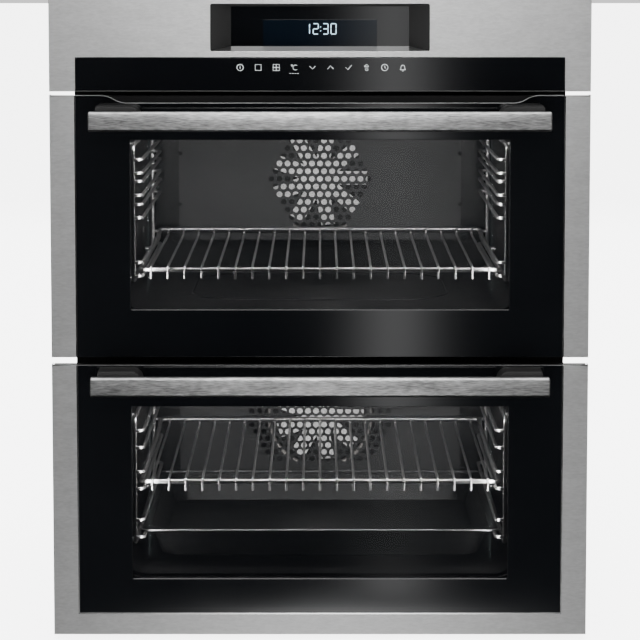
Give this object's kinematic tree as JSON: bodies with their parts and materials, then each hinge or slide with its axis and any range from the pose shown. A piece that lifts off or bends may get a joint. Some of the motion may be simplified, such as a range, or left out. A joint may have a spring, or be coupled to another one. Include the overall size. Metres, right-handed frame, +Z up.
{
  "type": "wall oven",
  "caption": "Built-under oven with stacked cavities, drop-down glass doors, flat bar handles, a touch strip and clock, side racks, shelves, a tray and fans.",
  "frame": {"origin": "middle of the footprint, on the surface that the base plate stands on", "axes": "+Z up, +X to the viewer's right, doors and handles face -Y"},
  "size_m": [0.594, 0.61, 0.714],
  "materials": {
    "brushed_steel": "brushed",
    "zinc_sheet": "galvanised",
    "dark_enamel": "gloss, speckled",
    "black_paint": "satin",
    "chrome_wire": "polished",
    "black_glass": "gloss, printed border",
    "clear_glass": "gloss",
    "seal": "woven fibre",
    "blanket": "fibre",
    "black_plastic": "moulded",
    "board": "matt",
    "motor": "laminated steel",
    "aluminium": "satin",
    "element": "oxidised"
  },
  "bodies": {
    "housing": {"base_plate": "zinc_sheet", "side_panel_right": "zinc_sheet", "side_panel_left": "zinc_sheet", "rear_panel": "zinc_sheet", "top_panel": "zinc_sheet", "upper_deck": "zinc_sheet", "blower_housing": "zinc_sheet", "housing_screws": "zinc_sheet", "upper_hinge_arms": "zinc_sheet", "lower_hinge_arms": "zinc_sheet", "front_frame": "black_paint", "middle_crosspiece": "black_paint", "insulation": "blanket", "fascia": "brushed_steel", "touch_glass": "black_glass", "display_glass": "black_glass", "upper_lamp": "clear_glass", "lower_lamp": "clear_glass", "upper_cavity": "dark_enamel", "lower_cavity": "dark_enamel", "upper_fan_cover": "dark_enamel", "lower_fan_cover": "dark_enamel", "upper_side_racks": "chrome_wire", "lower_side_racks": "chrome_wire", "upper_door_seal": "seal", "lower_door_seal": "seal", "display_bezel": "black_plastic", "terminal_block": "black_plastic", "display_module": "board", "control_board": "board", "upper_fan_motor": "motor", "lower_fan_motor": "motor", "blower_motor": "motor", "upper_ring_element": "element", "lower_ring_element": "element", "grill_element": "element"},
    "upper_door": {"upper_outer_glass": "black_glass", "upper_middle_glass": "clear_glass", "upper_inner_glass": "clear_glass", "upper_door_frame": "aluminium", "upper_door_liner": "black_plastic", "upper_hinge_bodies": "zinc_sheet", "upper_handle": "brushed_steel", "upper_handle_brackets": "black_plastic", "upper_door_trims": "brushed_steel"},
    "lower_door": {"lower_outer_glass": "black_glass", "lower_middle_glass": "clear_glass", "lower_inner_glass": "clear_glass", "lower_door_frame": "aluminium", "lower_door_liner": "black_plastic", "lower_hinge_bodies": "zinc_sheet", "lower_handle": "brushed_steel", "lower_handle_brackets": "black_plastic", "lower_door_trim": "brushed_steel"},
    "upper_shelf": {"upper_shelf": "chrome_wire"},
    "lower_shelf": {"lower_shelf": "chrome_wire"},
    "baking_tray": {"baking_tray": "dark_enamel"},
    "upper_fan": {"upper_fan_wheel": "aluminium"},
    "lower_fan": {"lower_fan_wheel": "aluminium"},
    "cooling_fan": {"blower_rotor": "aluminium"}
  },
  "joints": [
    {"name": "upper_door_hinge", "type": "hinge", "parent": "housing", "child": "upper_door", "pos_m": [0, -0.246, 0.3422], "axis": [1, 0, 0], "range_deg": [0, 90]},
    {"name": "lower_door_hinge", "type": "hinge", "parent": "housing", "child": "lower_door", "pos_m": [0, -0.246, 0.0296], "axis": [1, 0, 0], "range_deg": [0, 90]},
    {"name": "upper_shelf_slide", "type": "slide", "parent": "housing", "child": "upper_shelf", "axis": [0, -1, 0], "range_m": [0, 0.02]},
    {"name": "lower_shelf_slide", "type": "slide", "parent": "housing", "child": "lower_shelf", "axis": [0, -1, 0], "range_m": [0, 0.02]},
    {"name": "baking_tray_slide", "type": "slide", "parent": "housing", "child": "baking_tray", "axis": [0, -1, 0], "range_m": [0, 0.02]},
    {"name": "upper_fan_spin", "type": "hinge", "parent": "housing", "child": "upper_fan", "pos_m": [0, 0.175, 0.481], "axis": [0, 1, 0], "continuous": true},
    {"name": "lower_fan_spin", "type": "hinge", "parent": "housing", "child": "lower_fan", "pos_m": [0, 0.175, 0.17645], "axis": [0, 1, 0], "continuous": true},
    {"name": "cooling_fan_spin", "type": "hinge", "parent": "housing", "child": "cooling_fan", "pos_m": [0, 0.158, 0.6393], "axis": [1, 0, 0], "continuous": true}
  ]
}
